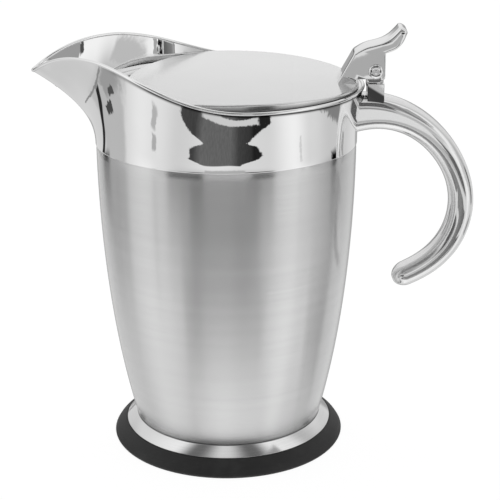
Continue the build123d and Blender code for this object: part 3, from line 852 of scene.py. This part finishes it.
def lever_outlines():
    """The cheeks' outline and, matched point for point, the middle's, which leaves the slot.

    From the front of the foot it runs up the sloping front and its rounded bend, along the top,
    round the tip, back under the thumb pad, down the cheek or the slot, and over the rim to the
    back of the foot.
    """
    lid_side = LID_BOTTOM + 0.1
    top = smooth_line(LEVER_TOP_LINE, 44)
    under = smooth_line(LEVER_UNDER_LINE, 26)
    turn = np.linspace(0.0, pi, 15)[1:-1, None]
    middle, half = (top[-1] + under[0]) / 2, (under[0] - top[-1]) / 2
    bulge = np.array([-half[1], half[0]]) * LEVER_TIP_BULGE
    tip = middle - np.cos(turn) * half + np.sin(turn) * bulge
    slope = np.linspace(0.0, 1.0, 12)[:-1, None]
    foot_front = np.array([LEVER_FOOT_FRONT, lid_side])
    front = foot_front * (1 - slope) + top[0] * slope
    bend = rounded([foot_front, top[0], top[6]], [0.0, LEVER_BEND_ROUND, 0.0], 9)
    back = np.array([(CHEEK_BACK_X, 174.2), (CHEEK_BACK_X, 172.6)])
    shared = np.concatenate([front[:-3], bend[1:-1], top[4:], tip, under, back])
    cheek_bottom = PIN_HEIGHT - CHEEK_RADIUS
    arc = round_pin(CHEEK_RADIUS, -np.linspace(radians(36.0), pi / 2, 12))
    cheek = np.concatenate([[(CHEEK_BACK_X, 172.0), (CHEEK_BACK_X, 166.4)], arc,
                            [(61.0, cheek_bottom), (59.5, cheek_bottom), (59.4, 164.2),
                             (59.2, LEVER_OVER_RIM)]])
    arch = round_pin(SLOT_RADIUS, np.linspace(pi / 2, pi, 15))
    slot = np.concatenate([[(CHEEK_BACK_X, SLOT_TOP), (65.2, SLOT_TOP)], arch,
                           [(59.1, LEVER_OVER_RIM)]])
    heel = np.array([(57.0, LEVER_OVER_RIM), (LEVER_FOOT_BACK, LEVER_OVER_RIM),
                     (LEVER_FOOT_BACK, lid_side)])
    return np.concatenate([shared, cheek, heel]), np.concatenate([shared, slot, heel])


def lever_edges(outline):
    """How far each point's edge is rounded: most on the thumb pad, least on the cheeks.

    The steps between these are evened out over nine points.
    """
    x, height = outline.T
    edge = np.where(height > 172.9, 0.9, 0.3)
    edge = np.where(height > 180.8, 2.1, edge)
    edge = np.where((x < 54.5) & (height > 165.5), 0.8, edge)
    return np.convolve(np.r_[edge[-4:], edge, edge[:4]], np.ones(9) / 9, mode="valid")


def lever_grid():
    """The lever: rounded cheeks outside, and the slotted middle between them."""
    cheek, middle = lever_outlines()
    rows = list(rounded_rows(cheek, LEVER_HALF_WIDTH, lever_edges(cheek)))
    for outline in (cheek, middle):
        across = np.full(len(outline), SLOT_HALF_WIDTH)
        rows.append(np.stack([outline[:, 0], across, outline[:, 1]], axis=-1))
    half = np.array(rows)
    return np.concatenate([half, half[::-1] * np.array([1.0, -1.0, 1.0])])


def post_piece(finish):
    """The post's foot and its round-topped tongue, each a bar with softened edges."""
    foot = rounded([(60.0, 151.0), (67.0, 151.0), (67.0, POST_SHOULDER), (60.0, POST_SHOULDER)],
                   0.3, 4)
    top = round_pin(TONGUE_RADIUS, np.linspace(0.0, pi, 25))
    tongue = np.concatenate([[(59.5, 161.0), (66.9, 161.0)], top])
    points, groups = skin(bar_grid(foot, LEVER_HALF_WIDTH, 0.3), "caps")
    more, more_groups = skin(bar_grid(tongue, TONGUE_HALF_WIDTH, 0.2), "caps", len(points))
    return mesh_object("hinge_post_satin", np.concatenate([points, more]), groups + more_groups,
                       finish)


def pin_outline():
    """The pin with a button head at each end: a flattened dome with a shallow dish."""
    seat = LEVER_HALF_WIDTH + 0.05
    turn = np.linspace(0.0, pi / 2, 30)
    radius = PIN_HEAD_RADIUS * np.cos(turn) ** 0.7
    height = PIN_HEAD_HEIGHT * np.sin(turn) ** 0.8
    dish = 0.16 * np.exp(-(radius / 1.2) ** 2)
    head = np.stack([radius, seat + height - dish], axis=-1)[:-1]
    shaft = np.array([(PIN_RADIUS, 0.0), (PIN_RADIUS, seat)])
    half = np.concatenate([shaft, head])
    return np.concatenate([half[::-1] * np.array([1.0, -1.0]), half[1:]])


# Handle

def handle_grid():
    """Rounded sections across a smooth line, wide and deep at the root and domed at the end.

    Each section is the curve whose coordinates' powers add up to one, at a power that falls from
    3.6 to 2.4 as the handle leaves the root, and its sides draw in a little towards the top. Half
    the depth goes through three values along the handle by a square law, and half the width evenly
    from one to another. The end closes as a quarter circle.
    """
    line = smooth_line(HANDLE_LINE, 420)
    step = np.linalg.norm(np.diff(line, axis=0), axis=1)
    along = np.concatenate([[0.0], np.cumsum(step)])
    length = along[-1]
    share = along / length
    tangent = unit(np.gradient(line, axis=0))
    normal = np.stack([-tangent[:, 1], tangent[:, 0]], axis=-1)
    away = np.where(share < 0.5, 1 - 2 * share, 2 * share - 1)
    root, middle, tail = HANDLE_HALF_DEPTHS
    end = np.where(share < 0.5, root, tail)
    depth = middle + (end - middle) * away ** 2
    widest, narrowest = HANDLE_HALF_WIDTHS
    width = widest + (narrowest - widest) * share
    left = np.clip((length - along) / HANDLE_DOME, 0.0, 1.0)
    dome = np.sqrt(1 - (1 - left) ** 2)
    turn = np.linspace(0.0, 2 * pi, 160, endpoint=False)[None, :]
    power = 2.4 + 1.2 * np.exp(-(along / 26.0) ** 2)[:, None]
    reach = (np.abs(np.cos(turn)) ** power + np.abs(np.sin(turn)) ** power) ** (-1 / power)
    rise = np.sin(turn) * reach
    draft = 0.02 + 0.08 * np.exp(-(along / 44.0) ** 2)[:, None]
    side = np.cos(turn) * reach * (0.98 - draft * rise)
    across = (width * dome)[:, None] * side
    lifted = (depth * dome)[:, None] * rise
    points = np.stack([line[:, :1] + normal[:, :1] * lifted, across,
                       line[:, 1:] + normal[:, 1:] * lifted], axis=-1)
    return points[:-1]


# The studio

DEGREES = 180 / pi

# Heights above the horizon, in degrees, over which one storey of the tent gives way to the next.
TABLE_TO_WALL = -17.0, -13.0
WALL_TO_ROOF = 12.0, 24.0
# Brightness by compass angle, 0 towards the camera and positive to the handle's side: the table
# that is mirrored below the horizon, the walls, and the roof.
TENT = [
    [(-180, .88), (-140, .84), (-110, .81), (-76, .94), (-60, .91), (-40, .84), (-5, .92),
     (25, .87), (38, .86), (64, .98), (82, .87), (106, .80), (125, .81), (150, .87), (180, .88)],
    [(-180, .93), (-141, .86), (-112, .74), (-70, 1.0), (-56, .90), (-34, .74), (-16, .72),
     (16, .72), (34, .74), (56, .96), (66, 1.0), (112, .66), (140, .86), (180, .93)],
    [(-180, .925), (-120, .90), (-76, 1.0), (-54, .43), (-46, .43), (-8, .88), (0, .87),
     (40, .42), (50, .42), (76, 1.0), (94, .95), (110, .76), (135, .90), (180, .925)],
]
# Left, right, low, high, softness and level of each card that hangs in the tent.
TENT_CARDS = [
    (-122, -98, -23.0, -14.0, 4.0, .74),
    (-107, -97, -23.2, -21.0, 1.2, .62),
    (-47, -19, -12.6, 3.0, 2.4, .05),
    (21, 42, -12.6, 3.0, 2.4, .05),
    (-200, -162, -60.0, 2.0, 5.0, .66),
    (162, 200, -60.0, 2.0, 5.0, .66),
    (-104.5, -100.5, -21.1, -20.3, 0.2, .33),
    (-113, -105, -19.9, -18.9, 0.2, .30),
    (-141, -100, -24.7, -24.2, 0.2, .56),
    (-131, -121, -14.0, 6.0, 2.0, .10),
    (-66, -62.5, -24.0, -21.8, 1.0, .72),
    (-64, -61.5, -20.0, -18.4, 0.8, .70),
    (70, 71, -24.0, -17.0, 0.6, .84),
    (108, 118, -15.5, 4.0, 2.0, .06),
    (-15, 18, -15.4, -6.9, 0.6, .70),
    (-16, 24, -5.6, 7.0, 0.8, .90),
    (-16, 12, 9.0, 13.0, 1.2, .50),
    (-22, 20, 22.0, 48.0, 3.0, .14),
    (20, 64, 20, 27, 1.6, .86),
    (80.5, 90, -3.0, 9.0, 2.5, .76),
    (69.5, 72.5, -1.0, 5.0, 0.5, .66),
    (46, 76, 36, 54, 1.4, .62),
    (72, 78, 33.4, 35.8, 0.5, .32),
]
# A dark card near the camera: its lowest height and how tall it is, its left and right edges by
# height, and its greys across.
CARD_LOW = -37.0
CARD_TALL = 19.4
CARD_EDGES = [
    [(-37.0, 34), (-34, 40), (-28.6, 41), (-27.3, 38), (-26.6, 34), (-25.5, 30), (-25.2, 22),
     (-24.7, 18), (-23.9, 21), (-22.6, 26), (-21.4, 30), (-19.4, 29), (-18.8, 31), (-18.4, 24),
     (-17.6, 17)],
    [(-37.0, 36), (-33, 42), (-31.4, 43), (-30.3, 36), (-28.8, 30), (-27.2, 25), (-26.3, 21),
     (-25.8, 23), (-24.8, 30), (-23.6, 32), (-21.5, 34), (-20.3, 31), (-19.2, 20), (-18.4, 16),
     (-17.6, 15)],
]
CARD_LEVELS = [(-40, .28), (-27, .27), (-20, .41), (6, .40), (13, .27), (24, .22), (27, .15),
               (40, .16)]


def tent_panels(graph, compass, height):
    """Three storeys of pale panels that melt into each other."""
    turn = compass / 360.0 + 0.5
    table, walls, roof = [graph.ramp(turn, [(place / 360 + 0.5, grey(level)[0])
                                            for place, level in storey], "EASE")
                          for storey in TENT]
    light = table * height.rise(*TABLE_TO_WALL, 1.0, 0.0) + walls * height.rise(*TABLE_TO_WALL)
    return light * height.rise(*WALL_TO_ROOF, 1.0, 0.0) + roof * height.rise(*WALL_TO_ROOF)


def hanging_cards(light, compass, height):
    """Cards over the panels, each a soft-edged window in both angles."""
    for left, right, low, high, blur, level in TENT_CARDS:
        inside = compass.window(left, right, blur * 1.6) * height.window(low, high, blur)
        light = light * (1 - inside) + inside * grey(level)[0]
    return light


def marks(light, compass, height, wobble):
    """A slanting dark line, a ragged stain on the table, and a brighter pool of light on it."""
    line = (compass + 128.0 + (height + 17.0) * 2.3).bump_at(0.0, 2.1, 1.2)
    light = light * (1 - line * height.window(-23.4, 2.0, 1.0) * 0.96)
    stain = height + wobble * 3.0 + 28.4 - (compass - 90.0) * 0.28
    stain = stain.rise(-0.5, 0.5, 1.0, 0.0) * compass.window(90.0, 117.0, 1.5)
    light = light * (1 - stain * height.window(-34.0, -20.0, 1.0) * 0.62)
    pool = compass.window(-36.0, 40.0, 10.0) * height.rise(-44.0, -38.0, 1.0, 0.0)
    return light + pool * 0.22


def front_card(graph, light, place, compass, height, wobble):
    """The dark cloth card by the camera, which narrows and widens with height, and its sheen."""
    share = (height - CARD_LOW) / CARD_TALL
    left, right = [graph.ramp(share, [((h - CARD_LOW) / CARD_TALL, edge / 90) for h, edge in side])
                   * 90.0 for side in CARD_EDGES]
    wide = compass + wobble * 6.0
    card = (wide + left).rise(-1.0, 1.0) * (wide - right).rise(-1.0, 1.0, 1.0, 0.0)
    card = card * height.window(CARD_LOW, -17.9, 0.5)
    cloth = graph.ramp(compass / 90.0 + 0.5, [((place + 45) / 90, grey(level)[0])
                                              for place, level in CARD_LEVELS])
    threads = graph.noise(graph.mapped(place, (70.0, 70.0, 3.0)), 1.0, 2.0, 0.6)
    light = light * (1 - card) + cloth * (0.7 + threads * 0.6) * card
    sheen = wide.window(-20.0, 29.0, 4.0) * (height + wobble).window(-33.4, -31.7, 0.5)
    return light * (1 - sheen) + sheen * grey(0.82)[0]


def studio_world():
    """A photographer's light tent: brightness by compass angle and by height above the horizon.

    Straight rays from the camera see plain white. Everything else sees the tent, whose cards
    have slightly uneven edges.
    """
    world = bpy.data.worlds.new("studio")
    bpy.context.scene.world = world
    world.use_nodes = True
    graph = Graph(world.node_tree)
    place = graph.add("ShaderNodeTexCoord", output=0)
    x, y, z = graph.split(place)
    compass = x.maths("ARCTAN2", y * -1.0) * DEGREES
    height = z.maths("ARCSINE") * DEGREES
    wobble = graph.noise(graph.mapped(place, (30.0, 30.0, 60.0)), 1.0, 3.0, 0.6) - 0.5
    light = tent_panels(graph, compass, height)
    light = hanging_cards(light, compass + wobble * 5.0, height + wobble)
    light = marks(light, compass, height, wobble)
    light = front_card(graph, light, place, compass, height, wobble)
    ray = graph.add("ShaderNodeLightPath", output=0)
    tent = graph.add("ShaderNodeBackground", {}, {"Color": light, "Strength": 1.0})
    white = graph.add("ShaderNodeBackground", {}, {"Color": (1.0, 1.0, 1.0, 1.0), "Strength": 1.0})
    seen = graph.add("ShaderNodeMixShader", {}, {0: ray, 1: tent, 2: white})
    graph.add("ShaderNodeOutputWorld", {}, {"Surface": seen})


def studio_floor():
    """A plain white table that the reflections don't see, since the tent holds its own."""
    made, graph = material("white_table")
    paper = graph.noise(graph.place(), 40.0, 3.0)
    diffuse = graph.add("ShaderNodeBsdfDiffuse", {},
                        {"Color": graph.mix(paper, grey(0.93), grey(0.95))})
    glow = graph.add("ShaderNodeEmission", {}, {"Color": (1.0, 1.0, 1.0, 1.0), "Strength": 1.09})
    both = graph.add("ShaderNodeMixShader", {}, {0: 0.86, 1: diffuse, 2: glow})
    graph.add("ShaderNodeOutputMaterial", {}, {"Surface": both})
    reach, drop = 4000.0, -0.02
    corners = np.array([(-reach, -reach, drop), (reach, -reach, drop), (reach, reach, drop),
                        (-reach, reach, drop)])
    mesh = bpy.data.meshes.new("table")
    mesh.from_pydata((corners * MM).tolist(), [], [[0, 1, 2, 3]])
    mesh.materials.append(made)
    floor = bpy.data.objects.new("table", mesh)
    bpy.context.scene.collection.objects.link(floor)
    floor.visible_glossy = False


def camera():
    """A long lens, looking a little down from the front, as in the photograph."""
    data = bpy.data.cameras.new("camera")
    data.lens = LENS
    data.sensor_width = 36.0
    data.clip_start = 0.05
    data.clip_end = 50.0
    made = bpy.data.objects.new("camera", data)
    bpy.context.scene.collection.objects.link(made)
    turn = Euler((0, 0, radians(CAMERA_TURN))).to_matrix()
    tilt = Euler((radians(CAMERA_TILT), 0, 0)).to_matrix()
    roll = Euler((0, 0, radians(CAMERA_ROLL))).to_matrix()
    made.rotation_euler = (turn @ tilt @ roll).to_euler()
    made.location = [place * MM for place in CAMERA_PLACE]
    bpy.context.scene.camera = made


# Put it together

bpy.context.scene.view_settings.view_transform = "Standard"
camera()
studio_world()
studio_floor()

# the body's steel carries painted shade above the foot and towards the collar
body_steel = brushed_round("brushed_body_steel", 0.88, 0.22, 0.87, paint_shade=True)
foot_steel = brushed_round("brushed_foot_steel", 0.90, 0.11, 0.5)
collar_steel = polished("polished_collar_steel", 0.955, 0.015, painted_gap_shade=True)
# the lid's steel carries painted shade towards its front and in the gap round its edge
lid_steel = polished("polished_lid_steel", 0.95, 0.17, ripple=0.0, painted_gap_shade=True, metallic=0.8,
                     painted_front_shade=0.14)
lever_steel = polished("polished_lever_steel", 0.94, 0.04, ripple=0.02)
handle_steel = polished("polished_handle_steel", 0.95, 0.05, ripple=0.02, metallic=0.8)
pin_steel = polished("polished_pin_steel", 0.93, 0.06, ripple=0.02)
post_steel = satin("satin_post_steel", 0.97, 0.10)
liner_steel = brushed_round("brushed_liner_steel", 0.87, 0.30, 0.6, 0.35)
ledge_steel = spun("turned_ledge_steel", 0.93, 0.16)
plate_steel = spun("turned_plate_steel", 0.88, 0.26)
rubber = soft_rubber("black_foot_rubber")

finished("brushed_body_wall", turned(body_outline()), body_steel, "pot", ["outer_shell"])
finished("steel_foot_ring", turned(foot_ring_outline()), foot_steel, "pot", ["foot_ring"])
finished("rubber_foot_ring", turned(rubber_outline()), rubber, "pot", ["rubber_foot"])
base = rounded([(0.4, 10.0), (36.0, 10.0), (36.0, 11.0), (0.4, 11.0)], [0.0, 0.3, 0.1, 0.0], 5)
finished("turned_base_disc", turned(base, 144), plate_steel, "pot", ["base_plate"],
         ends="poles")
finished("steel_liner", turned(liner_outline(), 192), liner_steel, "pot", ["inner_liner"],
         ends="poles")
collar = collar_grid()
# the collar carries painted shade in the crease under its bead
add_painted_shade(finished("polished_spout_collar", collar, collar_steel, "pot", ["spout_collar"]), painted_crease_shade(collar))
finished("turned_pour_ledge", ledge_grid(), ledge_steel, "pot", ["pour_ledge"])
finished("polished_handle_casting", handle_grid(), handle_steel, "pot", ["handle"],
         ends="poles")
placed(post_piece(post_steel), "pot", ["hinge_post"])
finished("domed_hinge_pin", about_pin(pin_outline(), 120), pin_steel, "pot", ["hinge_pin"],
         ends="poles")
lid = lid_grid()
# the lid carries painted shade in the gap round its edge
add_painted_shade(finished("polished_lid_top", lid, lid_steel, "lid", ["lid_shell"],
                 ends="poles"), painted_lid_edge_shade(lid))
finished("turned_lid_plate", lid_plate_grid(), plate_steel, "lid", ["lid_plate"],
         ends="poles")
lever = mesh_object("polished_thumb_lever", *welded(*skin(lever_grid(), "caps")), lever_steel)
placed(lever, "lid", ["thumb_lever"])
